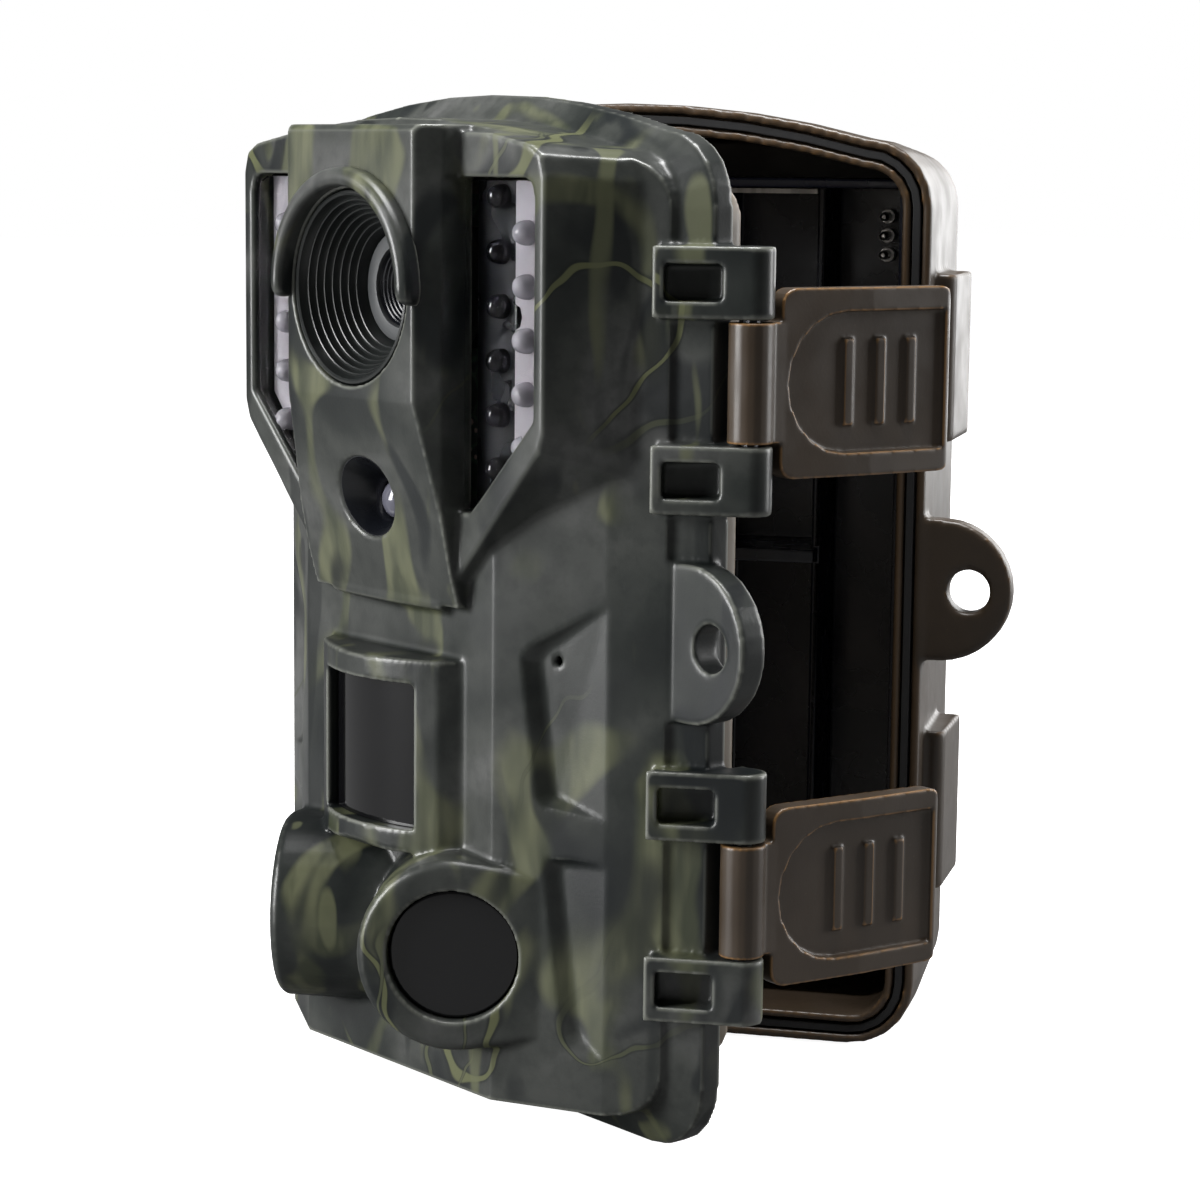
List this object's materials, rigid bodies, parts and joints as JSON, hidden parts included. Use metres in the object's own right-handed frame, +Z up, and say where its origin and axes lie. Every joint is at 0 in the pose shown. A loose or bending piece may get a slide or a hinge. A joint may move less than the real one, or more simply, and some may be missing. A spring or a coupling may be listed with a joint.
{
  "type": "trail camera",
  "caption": "Compact trail camera with a hinged rear battery shell, side latches, lens hood, lamp windows and motion sensor windows, shown open.",
  "frame": {"origin": "centre of the strip under the front housing's flange, on which the camera stands", "axes": "+Z up; -Y is where the lens looks; the rear shell's hinge is at -X and the latches at +X"},
  "size_m": [0.1228, 0.1181, 0.1364],
  "materials": {
    "camo": "satin moulded plastic with a printed leaf and branch pattern",
    "brown": "satin moulded plastic, fine texture",
    "tan": "satin moulded plastic",
    "black": "fine matt",
    "dark_glass": "polished infrared-pass plastic, looks black",
    "clear": "clear polished plastic",
    "lamp_strip": "grey-white strip with clear lamps",
    "board": "solder-masked circuit board",
    "steel": "plain",
    "brass": "turned",
    "rubber": "soft, matt"
  },
  "bodies": {
    "housing": {"back_cover": "tan", "card_slot": "steel", "cover_screw_1": "steel", "cover_screw_2": "steel", "cover_screw_3": "steel", "cover_screw_4": "steel", "display_panel": "black", "display_window": "dark_glass", "front_housing": "camo", "hinge_pin_lower": "steel", "hinge_pin_upper": "steel", "image_sensor": "black", "infrared_lamps_left": "black", "infrared_lamps_right": "black", "latch_pin_lower": "steel", "latch_pin_upper": "steel", "led_window_left": "clear", "led_window_right": "clear", "lens_barrel": "camo", "lens_glass": "dark_glass", "light_sensor": "clear", "main_board": "board", "microphone": "black", "motion_sensor_front": "steel", "motion_sensor_left": "steel", "motion_sensor_right": "steel", "motion_window_front": "dark_glass", "motion_window_left": "dark_glass", "motion_window_right": "dark_glass", "power_socket": "black", "usb_socket": "steel", "white_lamps_left": "lamp_strip", "white_lamps_right": "lamp_strip"},
    "door": {"battery_tray": "black", "cell_contact_bottom_1": "steel", "cell_contact_bottom_2": "steel", "cell_contact_bottom_3": "steel", "cell_contact_bottom_4": "steel", "cell_contact_top_1": "steel", "cell_contact_top_2": "steel", "cell_contact_top_3": "steel", "cell_contact_top_4": "steel", "door_seal": "rubber", "power_contact_1": "steel", "power_contact_2": "steel", "power_contact_3": "steel", "rear_shell": "brown", "tripod_insert": "brass"},
    "upper_latch": {"latch_upper": "brown"},
    "lower_latch": {"latch_lower": "brown"},
    "switch": {"power_switch": "black"},
    "key_menu": {"button_menu": "rubber"},
    "key_left": {"button_left": "rubber"},
    "key_ok": {"button_ok": "rubber"},
    "key_right": {"button_right": "rubber"},
    "key_shot": {"button_shot": "rubber"}
  },
  "joints": [
    {"name": "door_hinge", "type": "hinge", "parent": "housing", "child": "door", "pos_m": [-0.0493, 0.0031, 0.0675], "axis": [0, 0, 1], "range_deg": [-36, 74]},
    {"name": "upper_latch_hinge", "type": "hinge", "parent": "housing", "child": "upper_latch", "pos_m": [0.05, 0.0017, 0.1003], "axis": [0, 0, -1], "range_deg": [-6, 100]},
    {"name": "lower_latch_hinge", "type": "hinge", "parent": "housing", "child": "lower_latch", "pos_m": [0.05, 0.0017, 0.0345], "axis": [0, 0, -1], "range_deg": [-6, 100]},
    {"name": "power_switch_slide", "type": "slide", "parent": "housing", "child": "switch", "axis": [1, 0, 0], "range_m": [-0.003, 0.003]},
    {"name": "press_menu", "type": "slide", "parent": "housing", "child": "key_menu", "axis": [0, -1, 0], "range_m": [0, 0.0009], "stiffness_N_per_m": 400, "springref_m": -0.0004},
    {"name": "press_left", "type": "slide", "parent": "housing", "child": "key_left", "axis": [0, -1, 0], "range_m": [0, 0.0009], "stiffness_N_per_m": 400, "springref_m": -0.0004},
    {"name": "press_ok", "type": "slide", "parent": "housing", "child": "key_ok", "axis": [0, -1, 0], "range_m": [0, 0.0009], "stiffness_N_per_m": 400, "springref_m": -0.0004},
    {"name": "press_right", "type": "slide", "parent": "housing", "child": "key_right", "axis": [0, -1, 0], "range_m": [0, 0.0009], "stiffness_N_per_m": 400, "springref_m": -0.0004},
    {"name": "press_shot", "type": "slide", "parent": "housing", "child": "key_shot", "axis": [0, -1, 0], "range_m": [0, 0.0009], "stiffness_N_per_m": 400, "springref_m": -0.0004}
  ]
}
